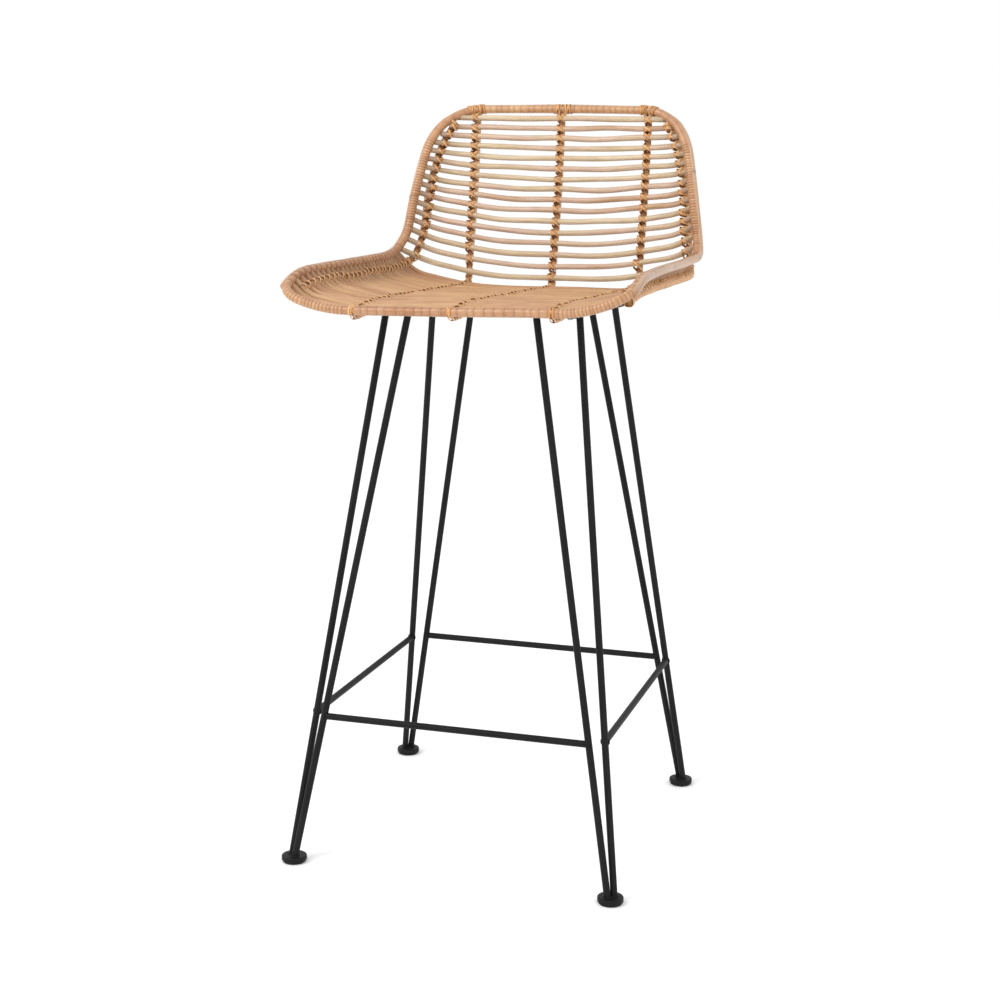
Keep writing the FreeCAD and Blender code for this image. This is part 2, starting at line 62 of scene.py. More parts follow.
towards_camera = Vector((math.sin(VIEW_TURN) * math.cos(VIEW_RISE),
                         -math.cos(VIEW_TURN) * math.cos(VIEW_RISE),
                         math.sin(VIEW_RISE)))
camera = bpy.data.objects.new("camera", bpy.data.cameras.new("camera"))
camera.data.lens = LENS_MM
camera.data.sensor_width = SENSOR_MM
camera.matrix_world = (Matrix.Translation(AIM + towards_camera * VIEW_DISTANCE)
                       @ towards_camera.to_track_quat("Z", "Y").to_matrix().to_4x4()
                       @ Matrix.Rotation(VIEW_ROLL, 4, "Z"))
bpy.context.scene.collection.objects.link(camera)
bpy.context.scene.camera = camera


# ---------------------------------------------------------------- floor and light
# A white studio: a plain pale floor under a bright even sky, with one large soft lamp above the sitter's
# right shoulder and a weaker one across from it.
FLOOR_SIZE = 14.0
SKY_STRENGTH = 1.0
LAMPS = (
    ("key_lamp", Vector((-1.9, -2.3, 2.9)), 1.6, 60.0),
    ("fill_lamp", Vector((2.4, -1.6, 1.9)), 2.4, 10.0),
)

bm = bmesh.new()
bmesh.ops.create_grid(bm, x_segments=1, y_segments=1, size=FLOOR_SIZE / 2)
floor = bpy.data.objects.new("floor", bpy.data.meshes.new("floor"))
bm.to_mesh(floor.data)
bm.free()
bpy.context.scene.collection.objects.link(floor)

floor_paint = bpy.data.materials.new("studio_floor")
floor_paint.use_nodes = True
floor_paint.node_tree.nodes["Principled BSDF"].inputs["Base Color"].default_value = (1.0, 1.0, 1.0, 1)
floor_paint.node_tree.nodes["Principled BSDF"].inputs["Roughness"].default_value = 0.9
floor.data.materials.append(floor_paint)

sky = bpy.data.worlds.new("sky")
sky.use_nodes = True
sky.node_tree.nodes["Background"].inputs["Color"].default_value = (1, 1, 1, 1)
sky.node_tree.nodes["Background"].inputs["Strength"].default_value = SKY_STRENGTH
bpy.context.scene.world = sky
bpy.context.scene.view_settings.view_transform = "Standard"

for name, place, size, power in LAMPS:
    lamp = bpy.data.objects.new(name, bpy.data.lights.new(name, "AREA"))
    lamp.data.size = size
    lamp.data.energy = power
    lamp.location = place
    lamp.rotation_euler = (AIM - place).to_track_quat("-Z", "Y").to_euler()
    bpy.context.scene.collection.objects.link(lamp)


# ---------------------------------------------------------------- steel legs, rungs, discs and seat frame
# Round mild-steel rod and flat bar, cut, welded and then powder coated matte black in one piece.
# The coat has a fine orange-peel skin and is cloudy between two near-black tones, a little rougher where
# paler.
LOW_SHEEN = 0.16


def tone(red, green, blue):
    """A colour given as 0 to 255 on screen, as the linear colour that a shader takes."""
    return tuple((part / 255 / 12.92) if part < 11 else ((part / 255 + 0.055) / 1.055) ** 2.4
                 for part in (red, green, blue)) + (1.0,)


def new_material(name):
    """A material with its node tree, its shader and a maker of further nodes."""
    material = bpy.data.materials.new(name)
    material.use_nodes = True
    tree = material.node_tree
    shader = tree.nodes["Principled BSDF"]

    def add(kind, inputs=(), **settings):
        node = tree.nodes.new(kind)
        for key, value in settings.items():
            setattr(node, key, value)
        for key, value in dict(inputs).items():
            if isinstance(value, bpy.types.NodeSocket):
                tree.links.new(value, node.inputs[key])
            else:
                node.inputs[key].default_value = value
        return node

    return material, tree, shader, add


def ramp(add, factor, stops):
    """A colour ramp through (place, colour) stops."""
    node = add("ShaderNodeValToRGB", {"Fac": factor})
    for place, colour in stops[2:]:
        node.color_ramp.elements.new(place)
    for element, (place, colour) in zip(node.color_ramp.elements, sorted(stops)):
        element.position, element.color = place, colour
    return node.outputs["Color"]


def powder_coat(name, body, worn, grain):
    """A matte coat: cloudy between two tones, over an orange-peel skin of the given grain."""
    material, tree, shader, add = new_material(name)
    place = add("ShaderNodeTexCoord").outputs["Object"]
    clouds = add("ShaderNodeTexNoise", {"Vector": place, "Scale": 24.0, "Detail": 5.0}).outputs["Fac"]
    peel = add("ShaderNodeTexNoise", {"Vector": place, "Scale": grain, "Detail": 2.0}).outputs["Fac"]
    tree.links.new(ramp(add, clouds, [(0.30, body), (0.75, worn)]), shader.inputs["Base Color"])
    rough = add("ShaderNodeMapRange", {"Value": clouds, "To Min": 0.42, "To Max": 0.60}).outputs["Result"]
    tree.links.new(rough, shader.inputs["Roughness"])
    bump = add("ShaderNodeBump", {"Height": peel, "Strength": 0.35, "Distance": 0.0004})
    tree.links.new(bump.outputs["Normal"], shader.inputs["Normal"])
    shader.inputs["Specular IOR Level"].default_value = LOW_SHEEN
    return material


def paint_nodes(material, names):
    """Gives CAD nodes a finish and leaves their shape alone."""
    for name in names:
        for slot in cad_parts[name].material_slots:
            slot.material = material


black_steel = powder_coat("black_powder_coat", tone(17, 17, 19), tone(27, 27, 29), 1500.0)
steel_nodes = [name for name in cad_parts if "_rod_" in name or name.endswith("_rung")]
disc_nodes = [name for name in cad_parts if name.startswith("foot_disc")]
bar_nodes = [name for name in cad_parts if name.startswith("frame_bar")]
paint_nodes(black_steel, steel_nodes + disc_nodes + bar_nodes)

# Floor glides: black moulded plastic pads pushed in under the discs, scuffed by the floor.
glide_plastic = powder_coat("glide_plastic", tone(22, 22, 23), tone(40, 39, 38), 700.0)
paint_nodes(glide_plastic, [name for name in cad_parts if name.startswith("glide")])

# Screws: zinc-plated, driven up through the frame bars into the ribs.
zinc = powder_coat("zinc_plate", tone(120, 121, 124), tone(168, 168, 170), 900.0)
zinc.node_tree.nodes["Principled BSDF"].inputs["Metallic"].default_value = 1.0
paint_nodes(zinc, ["frame_screws"])


# ---------------------------------------------------------------- reeds
# Round rattan core about 8 mm thick, pale straw on the back and warmer where the seat is handled. Each is
# bent cold to the shell and nailed to the rim; no two are quite straight or quite as thick.

# The reeds, the rim and the ribs are round rods in the CAD model. Their looks are made afresh along the
# same centre lines, which are read from the CAD solids by cutting across them every few millimetres.
JOIN = 0.00002
STEP = 0.003
MOST_STEPS = 2000
STEPS_BEFORE_CLOSING = 50
FEWEST_CUTS = 5
ROD_REACH = 0.012
ANYWHERE = 1.0


def solids_in(name):
    """Each separate solid of a CAD node: its corner points, and the pairs of corners that edges join."""
    copy = bmesh.new()
    copy.from_mesh(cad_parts[name].data)
    bmesh.ops.remove_doubles(copy, verts=copy.verts, dist=JOIN)
    waiting, solids = set(copy.verts), []
    while waiting:
        first = waiting.pop()
        patch, queue = [first], [first]
        while queue:
            for edge in queue.pop().link_edges:
                for corner in edge.verts:
                    if corner in waiting:
                        waiting.remove(corner)
                        patch.append(corner)
                        queue.append(corner)
        number = {corner: index for index, corner in enumerate(patch)}
        edges = {edge for corner in patch for edge in corner.link_edges}
        pairs = np.array([[number[corner] for corner in edge.verts] for edge in edges])
        solids.append((np.array([corner.co for corner in patch]), pairs))
    copy.free()
    return solids


def cut_across(solid, place, heading, reach):
    """The middle of the rod where a plane square to heading cuts it near place, or None past its end."""
    points, pairs = solid
    side = (points - place) @ heading
    low, high = side[pairs[:, 0]], side[pairs[:, 1]]
    cut = (low < 0) != (high < 0)
    share = (low[cut] / (low[cut] - high[cut]))[:, None]
    ring = points[pairs[cut, 0]] * (1 - share) + points[pairs[cut, 1]] * share
    ring = ring[np.linalg.norm(ring - place, axis=1) < reach]
    return ring.mean(axis=0) if len(ring) > FEWEST_CUTS else None


def follow(solid, place, heading, reach):
    """Walks along a rod from place until its end, noting its middle at every step."""
    walked = [np.array(place)]
    for _ in range(MOST_STEPS):
        middle = cut_across(solid, walked[-1] + heading * STEP, heading, reach)
        if middle is None:
            break
        if len(walked) > STEPS_BEFORE_CLOSING and np.linalg.norm(middle - walked[0]) < STEP:
            break
        heading = (middle - walked[-1]) / np.linalg.norm(middle - walked[-1])
        walked.append(middle)
    return walked


def both_ways(solid, place, heading, reach):
    """A rod's whole centre line, walked from a place on it towards both ends."""
    heading = np.array(heading, float)
    middle = cut_across(solid, np.array(place, float), heading, reach)
    onward = follow(solid, middle, heading, ROD_REACH)
    back = follow(solid, middle, -heading, ROD_REACH)
    return np.array(back[:0:-1] + onward)


class Line:
    """A smooth line through points, with a front direction kept square to it."""

    def __init__(self, points, front):
        self.points = np.array(points, float)
        steps = np.linalg.norm(np.diff(self.points, axis=0), axis=1)
        self.run = np.concatenate([[0.0], np.cumsum(steps)])
        self.length = self.run[-1]
        along = np.gradient(self.points, axis=0)
        self.along = along / np.linalg.norm(along, axis=1)[:, None]
        front = np.broadcast_to(np.array(front, float), self.points.shape)
        front = front - self.along * (front * self.along).sum(axis=1)[:, None]
        self.front = front / np.linalg.norm(front, axis=1)[:, None]
        self.side = np.cross(self.front, self.along)

    def read(self, table, where):
        """A table of the line's vectors, read between its rows at where."""
        return np.stack([np.interp(where, self.run, table[:, axis]) for axis in range(3)], axis=-1)

    def at(self, where):
        """The place on the line at where."""
        return self.read(self.points, where)

    def nearest(self, place):
        """How far along the line comes closest to place."""
        return self.run[np.argmin(np.linalg.norm(self.points - np.array(place), axis=1))]


def smoothed(points, passes=3):
    """The same line with the steps of its facets taken out."""
    points = np.array(points, float)
    for _ in range(passes):
        points[1:-1] = (points[:-2] + 2 * points[1:-1] + points[2:]) / 4
    return points


def stretched(points, start, end):
    """A line made longer by start and end, straight on."""
    first = points[0] + (points[0] - points[2]) / np.linalg.norm(points[0] - points[2]) * start
    last = points[-1] + (points[-1] - points[-3]) / np.linalg.norm(points[-1] - points[-3]) * end
    return np.concatenate([[first], points, [last]])


# Everything woven starts as straight stock: a grid rolled round a section. It remembers its straight
# shape, so the grain runs along it after it is bent to its line.
def new_stock():
    """An empty bmesh with the layers that every length of stock carries."""
    bm = bmesh.new()
    bm.verts.layers.float_vector.new("stock")
    bm.verts.layers.float.new("tint")
    # A mask of painted shade: how far each point is mixed towards the shade colour; on the batten it marks
    # the pole's node rings instead.
    bm.verts.layers.float.new("painted_shade_and_nodes")
    return bm


def round_section(radius, sides):
    """The corners of a round section, as (side, front) pairs."""
    turn = 2 * math.pi / sides
    return [(radius * math.cos(turn * k), radius * math.sin(turn * k)) for k in range(sides)]


def draw_stock(bm, stations, section, swell=None, tints=0.5, painted_shades_and_nodes=0.0, shift=0.0, lean=0.0):
    """Rolls one length of stock. stations are places along it, swell is the section's size at each."""
    count, sides = len(stations), len(section)
    swell = np.ones(count) if swell is None else swell
    tints = np.broadcast_to(tints, count)
    painted_shades_and_nodes = np.broadcast_to(painted_shades_and_nodes, count)
    stock, tint = bm.verts.layers.float_vector["stock"], bm.verts.layers.float["tint"]
    painted_shade_and_nodes = bm.verts.layers.float["painted_shade_and_nodes"]
    made = bmesh.ops.create_grid(bm, x_segments=count - 1, y_segments=sides, size=0.5)["verts"]
    for vert in made:
        ring = round((vert.co.x + 0.5) * (count - 1))
        side, front = section[round((vert.co.y + 0.5) * sides) % sides]
        vert.co = (stations[ring] + lean * side, side * swell[ring], front * swell[ring])
        vert[stock] = vert.co + Vector((shift, 0, 0))
        vert[tint] = tints[ring]
        vert[painted_shade_and_nodes] = painted_shades_and_nodes[ring]
    bmesh.ops.remove_doubles(bm, verts=made, dist=1e-7)
    return [vert for vert in made if vert.is_valid]


def lay_along(verts, line):
    """Bends straight stock to a line: x runs along it, y to its side and z to its front."""
    straight = np.array([vert.co for vert in verts])
    where = straight[:, 0]
    bent = (line.at(where) + line.read(line.side, where) * straight[:, 1:2]
            + line.read(line.front, where) * straight[:, 2:3])
    for vert, place in zip(verts, bent):
        vert.co = place


def close_ends(bm, verts, material=0):
    """Caps the open ends of a length of stock."""
    rim = {edge for vert in verts for edge in vert.link_edges if edge.is_boundary}
    for face in bmesh.ops.holes_fill(bm, edges=list(rim), sides=0)["faces"]:
        face.material_index = material


# The shell's lean: its slope across the seat at four places from front to back, how far out it grows,
# and the height by which it has faded out up the back.
LEAN_PLACES = (-0.23, -0.10, 0.12, 0.20)
LEAN_SLOPES = (0.024, 0.010, 0.008, 0.0)
LEAN_LIMIT = 0.10
LEAN_TOP = 0.80
LEAN_FADE = 0.06


def settle(place):
    """How much the hand-made shell rises at a place: its front edge leans a little to one side."""
    lean = np.interp(place.y, LEAN_PLACES, LEAN_SLOPES)
    return min(place.x, LEAN_LIMIT) * lean * min(max((LEAN_TOP - place.z) / LEAN_FADE, 0), 1)


def finish_piece(name, bm, materials):
    """Turns a closed mesh into a smooth piece of the stool that rides with it."""
    bmesh.ops.recalc_face_normals(bm, faces=bm.faces)
    piece = bpy.data.objects.new(name, bpy.data.meshes.new(name))
    bm.to_mesh(piece.data)
    bm.free()
    piece.data.shade_smooth()
    for material in materials:
        piece.data.materials.append(material)
    bpy.context.scene.collection.objects.link(piece)
    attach(piece, "root")
    return piece


def make_piece(name, bm, materials, stands_for=()):
    """Turns finished stock into a piece of the shell, leaning with it, in the place of CAD nodes."""
    for vert in bm.verts:
        vert.co.z += settle(vert.co)
    piece = finish_piece(name, bm, materials)
    if stands_for:
        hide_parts(*stands_for)


def rattan(name, tones, painted_shade_and_node_colour, fibre=0.25, gloss=(0.42, 0.58), coat=0.15):
    """Rattan or cane: tones along the tint, patches along the stock, fine fibres, and painted shade mixed in
    where the stock's mask asks for it (on the batten, its node rings instead).
    """
    material, tree, shader, add = new_material(name)
    stock = add("ShaderNodeAttribute", attribute_name="stock").outputs["Vector"]
    tint = add("ShaderNodeAttribute", attribute_name="tint").outputs["Fac"]
    painted_shade_and_nodes = add("ShaderNodeAttribute", attribute_name="painted_shade_and_nodes").outputs["Fac"]
    long_way = add("ShaderNodeMapping", {"Vector": stock, "Scale": (9.0, 60.0, 60.0)}).outputs["Vector"]
    patches = add("ShaderNodeTexNoise", {"Vector": long_way, "Scale": 1.0, "Detail": 3.0}).outputs["Fac"]
    fine_way = add("ShaderNodeMapping", {"Vector": stock, "Scale": (45.0, 1500.0, 1500.0)}).outputs["Vector"]
    fibres = add("ShaderNodeTexNoise", {"Vector": fine_way, "Scale": 1.0, "Detail": 4.0}).outputs["Fac"]
    spread = add("ShaderNodeMapRange", {"Value": patches, "From Min": 0.3, "From Max": 0.7,
                                        "To Min": -0.35, "To Max": 0.35}).outputs["Result"]
    choice = add("ShaderNodeMath", {0: tint, 1: spread}, operation="ADD", use_clamp=True).outputs[0]
    places = [index / (len(tones) - 1) for index in range(len(tones))]
    colour = ramp(add, choice, list(zip(places, tones)))
    dull = (1 - fibre, 1 - fibre * 1.1, 1 - fibre * 1.25, 1)
    streaks = ramp(add, fibres, [(0.32, dull), (0.62, (1, 1, 1, 1))])
    streaked = add("ShaderNodeMix", data_type="RGBA", blend_type="MULTIPLY")
    streaked.inputs["Factor"].default_value = 1.0
    tree.links.new(colour, streaked.inputs["A"])
    tree.links.new(streaks, streaked.inputs["B"])
    # Painted shade: the colour is mixed towards the shade colour as far as the mask attribute says.
    shaded = add("ShaderNodeMix", data_type="RGBA")
    tree.links.new(painted_shade_and_nodes, shaded.inputs["Factor"])
    tree.links.new(streaked.outputs["Result"], shaded.inputs["A"])
    shaded.inputs["B"].default_value = painted_shade_and_node_colour
    tree.links.new(shaded.outputs["Result"], shader.inputs["Base Color"])
    rough = add("ShaderNodeMapRange", {"Value": fibres, "To Min": gloss[0], "To Max": gloss[1]})
    tree.links.new(rough.outputs["Result"], shader.inputs["Roughness"])
    bump = add("ShaderNodeBump", {"Height": fibres, "Strength": 0.5, "Distance": 0.0003})
    tree.links.new(bump.outputs["Normal"], shader.inputs["Normal"])
    shader.inputs["Coat Weight"].default_value = coat
    shader.inputs["Coat Roughness"].default_value = 0.35
    return material


REED_RADIUS = 0.0038
REED_SIDES = 10
REED_STEP = 0.005
INTO_RIM = 0.006
WANDER = 0.0006
WAVE_TURN = 6.28
THINNEST, THICKEST = 0.94, 1.06
REED_SWELL = 0.035
GRAIN_SHIFT = 1.7
# Painted shade on the reeds: towards their ends under the rim, along the flanks between neighbouring seat
# reeds, and along the back reeds' undersides.
END_SHADE, END_SHADE_LENGTH = 0.4, 0.045
FLANK_SHADE, FLANK_BAND = 0.6, 0.35 * REED_RADIUS
BACK_FRONT, SEAT_FRONT = (0, -1, 0.35), (0, -0.35, 1)

pale_reed = rattan("pale_reed", [tone(222, 202, 174), tone(208, 186, 152), tone(214, 186, 166),
                                 tone(196, 160, 126)], tone(112, 78, 50), fibre=0.3)
warm_reed = rattan("warm_reed", [tone(208, 168, 122), tone(198, 154, 108), tone(200, 152, 114),
                                 tone(182, 134, 92)], tone(104, 68, 42), fibre=0.3)
end_grain = rattan("end_grain", [tone(140, 100, 84), tone(112, 78, 66)], tone(60, 40, 30), fibre=0.5)


def draw_reed(bm, solid, number, front):
    """One reed along its CAD line, wandering and swelling a little, and its centre line."""
    points = both_ways(solid, (0, 0, 0), (1, 0, 0), ANYWHERE)
    into = INTO_RIM * (1 if number else 2)
    points = stretched(smoothed(points), into, into)
    span = np.linspace(0, 1, len(points))
    waves = [(random.uniform(1, 4), random.uniform(0, WAVE_TURN), random.uniform(0.3, 1)) for _ in range(3)]
    drift = sum(size * np.sin(WAVE_TURN * beat * span + phase) for beat, phase, size in waves)
    points[:, 2] += drift * WANDER * np.sin(math.pi * span) ** 0.5
    line = Line(points, front)
    stations = np.linspace(0, line.length, int(line.length / REED_STEP) + 1)
    thick = random.uniform(THINNEST, THICKEST)
    beat, phase = random.uniform(2, 5), random.uniform(0, WAVE_TURN)
    swell = thick * (1 + REED_SWELL * np.sin(WAVE_TURN * beat * stations / line.length + phase))
    # Painted shade towards each end, where the reed runs in under the rim.
    near_end = np.clip(1 - np.minimum(stations, line.length - stations) / END_SHADE_LENGTH, 0, 1)
    verts = draw_stock(bm, stations, round_section(REED_RADIUS, REED_SIDES), swell,
                       tints=random.uniform(0.1, 0.9), painted_shades_and_nodes=END_SHADE * near_end,
                       shift=number * GRAIN_SHIFT)
    # Painted shade along the flanks between neighbouring seat reeds and along the undersides of the back
    # reeds.
    painted_shade_and_nodes = bm.verts.layers.float["painted_shade_and_nodes"]
    for vert in verts:
        if abs(vert.co.z) < FLANK_BAND and (vert.co.y < 0 or front == SEAT_FRONT):
            vert[painted_shade_and_nodes] = max(vert[painted_shade_and_nodes], FLANK_SHADE)
    lay_along(verts, line)
    close_ends(bm, verts)
    return line


reed_lines = []
for name in sorted(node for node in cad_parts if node.startswith("back_reed")):
    bm = new_stock()
    reed_lines.append(draw_reed(bm, solids_in(name)[0], len(reed_lines), BACK_FRONT))
    make_piece("reed_" + name, bm, [pale_reed], [name])
last_back_reed = len(reed_lines)

for name in sorted(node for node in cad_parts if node.startswith("seat_reeds")):
    bm = new_stock()
    for solid in sorted(solids_in(name), key=lambda one: -one[0][:, 1].mean()):
        reed_lines.append(draw_reed(bm, solid, len(reed_lines), SEAT_FRONT))
    make_piece("reeds_" + name, bm, [warm_reed], [name])


# ---------------------------------------------------------------- rim
# One rattan pole, steamed and bent into the seat's and the back's edge, with its butt joint in the middle
# of the front. It is bound with split cane all round: broad flat turns along the front, tight ones round
# the corners and up the back's sides, and a tie over every reed's end.
RIM_CORE = 0.0050
RIM_SIDES = 18
FRONT_TURN, CORNER_TURN, COIL_TURN, TOP_TURN = 0.0105, 0.0046, 0.0036, 0.0085
TIE_TURN = 0.0029
BARE_STEP = 0.006
BARE_RISE = 0.0002
ROUND_CANE, TIGHT_CANE = 0.0006, 0.0008
FLAT_CANE = {"height": 0.0003, "core": RIM_CORE + 0.0003, "uneven": 0.35}
CORNER_X = 0.128
CORNER_RISE = 0.010
CORNER_CLEARANCE = 0.004
COIL_TOP_REED = 3
SHELL_MIDDLE = np.array([0, 0, 0.80])
TOP_REACH = 0.03
FRONT_PASSES = 12

bound_cane = rattan("bound_cane", [tone(212, 168, 124), tone(200, 150, 104), tone(192, 142, 102),
                                   tone(176, 120, 76)], tone(104, 62, 34), fibre=0.25, gloss=(0.30, 0.45),
                    coat=0.4)
bare_pole = rattan("bare_pole", [tone(196, 160, 130), tone(182, 142, 108), tone(186, 140, 98),
                                 tone(162, 116, 82)], tone(96, 62, 40), fibre=0.25, gloss=(0.30, 0.45),
                   coat=0.4)

rim_solid = solids_in("rim_pole")[0]
rim_low, rim_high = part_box("rim_pole")
top_middle = cut_across(rim_solid, np.array([0, rim_high.y, rim_high.z]), np.array([-1.0, 0, 0]), TOP_REACH)
loop = np.array(follow(rim_solid, top_middle, np.array([-1.0, 0, 0]), ROD_REACH))
front_joint = np.argmin(np.abs(loop[:, 0]) + (loop[:, 1] > 0))
loop = np.roll(loop, -front_joint, axis=0)
loop = smoothed(np.concatenate([loop, loop[:1]]))

# Outwards on the rim is square to it and to the reeds that end there. Ahead of the reeds it is down.
guide = Line(loop, (0, 0, 1))
outward_places, outward = [0.0], [(0, 0, -1.0)]
for reed in reversed(reed_lines):
    where = guide.nearest(reed.points[-1])
    away = np.cross(guide.read(guide.along, where), reed.along[-3])
    away *= np.sign(away @ (guide.at(where) - SHELL_MIDDLE))
    outward_places.append(where)
    outward.append(away / np.linalg.norm(away))
half = guide.length / 2
order = np.argsort(outward_places)
places = np.array(outward_places)[order]
normals = np.array(outward)[order]
places = np.concatenate([places, [half], 2 * half - places[::-1]])
normals = np.concatenate([normals, [(0, 1.0, 0)], normals[::-1] * (-1, 1, 1)])
fronts = np.stack([np.interp(guide.run, places, normals[:, axis]) for axis in range(3)], axis=-1)
rim = Line(loop, smoothed(fronts, FRONT_PASSES))
HALF_RIM = rim.length / 2

reed_ends = [rim.nearest(reed.points[-1]) for reed in reed_lines]


def bind(rings, start, end, turn, height, core=RIM_CORE, tints=(0.2, 0.9), seam_shade=0.8, uneven=0.1):
    """Turns of split cane side by side round a pole from start to end, each a round back rising from a sunken
    edge, the edge and the flanks darkened with painted shade.
    """
    count = max(1, round((end - start) / turn))
    widths = np.array([random.uniform(1 - uneven, 1 + uneven) for _ in range(count)])
    widths *= (end - start) / widths.sum()
    for here, width in zip(start + np.cumsum(widths) - widths, widths):
        tint = random.uniform(*tints)
        # Painted shade: strongest at the sunken edge of each turn, faint on its flanks, none on its round
        # back.
        for share, rise, shade in ((0.0, 0.1, seam_shade), (0.14, 0.75, 0.12), (0.5, 1.0, 0.0), (0.86, 0.75, 0.12)):
            rings.append((here + share * width, core + rise * height, shade, tint))


def leave_bare(rings, start, end, tint):
    """The pole's own skin from start to end."""
    for here in np.linspace(start, end, max(2, int((end - start) / BARE_STEP)), endpoint=False):
        rings.append((here, RIM_CORE + BARE_RISE, 0.0, tint))


def bind_half():
    """One half of the rim, from the middle of the front to the middle of the top."""
    rings = []
    front_end = rim.nearest((CORNER_X, rim_low.y, rim_low.z + CORNER_RISE))
    top_start = rim.nearest((CORNER_X, rim_high.y, rim_high.z))
    corner_end = reed_ends[-1] - CORNER_CLEARANCE
    bind(rings, 0.0, front_end, FRONT_TURN, tints=(0.6, 0.95), seam_shade=0.5, **FLAT_CANE)
    bind(rings, front_end, corner_end, CORNER_TURN, ROUND_CANE, tints=(0.2, 0.7), seam_shade=0.65)
    ends = sorted(reed_ends[last_back_reed - 1:])
    for here, following in zip(ends, ends[1:]):
        bind(rings, here - TIE_TURN, here + TIE_TURN, TIE_TURN, TIGHT_CANE, tints=(0.4, 0.9))
        leave_bare(rings, here + TIE_TURN, following - TIE_TURN, 0.6)
    coil_start, coil_end = ends[-1] - TIE_TURN, reed_ends[COIL_TOP_REED]
    bind(rings, coil_start, coil_end, COIL_TURN, TIGHT_CANE, tints=(0.1, 0.8))
    bind(rings, coil_end, top_start, 4 * COIL_TURN, 0.0002, core=RIM_CORE + 0.0004, tints=(0.3, 0.5),
         seam_shade=0.25)
    bind(rings, top_start, HALF_RIM, TOP_TURN, tints=(0.1, 0.6), seam_shade=0.4, **FLAT_CANE)
    return rings


rings = bind_half() + [(rim.length - here, *rest) for here, *rest in reversed(bind_half())]
stations, radii, painted_shades_and_nodes, tints = (np.array(column) for column in zip(*rings))
bm = new_stock()
verts = draw_stock(bm, stations, round_section(1.0, RIM_SIDES), radii, tints=tints, painted_shades_and_nodes=painted_shades_and_nodes)
lay_along(verts, rim)
close_ends(bm, verts)
make_piece("bound_rim", bm, [bound_cane], ["rim_pole"])

# A half-round batten of smooth pole is pinned along the rim's outer face over the reeds' nailed ends,
# from one front corner round the back to the other. Its faint rings are the pole's own nodes.
BATTEN_BACK = 0.0054
BATTEN_CREST = 0.0078
BATTEN_SPREAD = math.radians(76)
BACK_TURN, SIDE_TURN = math.radians(24), math.radians(50)
BATTEN_HUG = 0.0008
BATTEN_POINTS = 9
BATTEN_STEP = 0.004
BATTEN_OVERHANG = 0.012
NODE_GAP = 0.13
NODE_WIDTH = 0.017
NODE_SWELL, NODE_SHADE = 0.03, 0.45


def batten_section():
    """A crescent that hugs the pole."""
    angles = np.linspace(-BATTEN_SPREAD, BATTEN_SPREAD, BATTEN_POINTS)
    crest = BATTEN_CREST - BATTEN_BACK
    outer = [(BATTEN_BACK + crest * math.cos(turn / BATTEN_SPREAD * math.pi / 2), turn) for turn in angles]
    inner = [(BATTEN_BACK - BATTEN_HUG, turn) for turn in angles[::-1][1:-1]]
    return [(radius * math.sin(turn), radius * math.cos(turn)) for radius, turn in outer + inner]


# Along the seat it sits nearly on top of the rim; up the back it lies on the outer face.
from_front = np.minimum(rim.run, rim.length - rim.run)
seat_side, back_side = reed_ends[last_back_reed + 3], reed_ends[last_back_reed - 5]
turned = np.interp(from_front, (seat_side, back_side), (SIDE_TURN, BACK_TURN))
batten_line = Line(rim.points, rim.front * np.cos(turned)[:, None] + rim.side * np.sin(turned)[:, None])
batten_start = reed_ends[-1] - BATTEN_OVERHANG
batten_stations = np.arange(batten_start, rim.length - batten_start, BATTEN_STEP)
node_marks = np.abs((batten_stations / NODE_GAP) % 1 - 0.5) < NODE_WIDTH
bm = new_stock()
verts = draw_stock(bm, batten_stations, batten_section(), 1 + NODE_SWELL * node_marks, tints=0.15,
                   painted_shades_and_nodes=NODE_SHADE * node_marks)
lay_along(verts, batten_line)
close_ends(bm, verts)
make_piece("outer_batten", bm, [bare_pole])


# ---------------------------------------------------------------- ribs
# Five ribs of thinner pole stand behind and under the reeds. The middle three hang from the top rim and
# pass under the front rim, where their cut ends show; the outer two curve round inside the shell's sides.
RIB_CORE = 0.0040
NOSE_TAPER = 0.030
NOSE_SIZE = 0.72
NOSE_LIFT = np.array([0, -0.001, 0.0020])
RIB_SLANT = 0.0016
RIB_TURN = 0.0034
RIB_SIDES = 12
RIB_INTO_RIM = 0.002
RIB_END = 0.001
RIB_START_RISE, RIB_START_REACH = 0.008, 0.03
OUTER_RIB_X = 0.15
TOWARDS_FRONT = np.array([0, -0.00002, 0.00002])
laced_cane = rattan("laced_cane", [tone(232, 186, 128), tone(216, 160, 98), tone(206, 146, 86),
                                   tone(184, 124, 72)], tone(112, 70, 38), fibre=0.25,
                    gloss=(0.32, 0.46), coat=0.35)

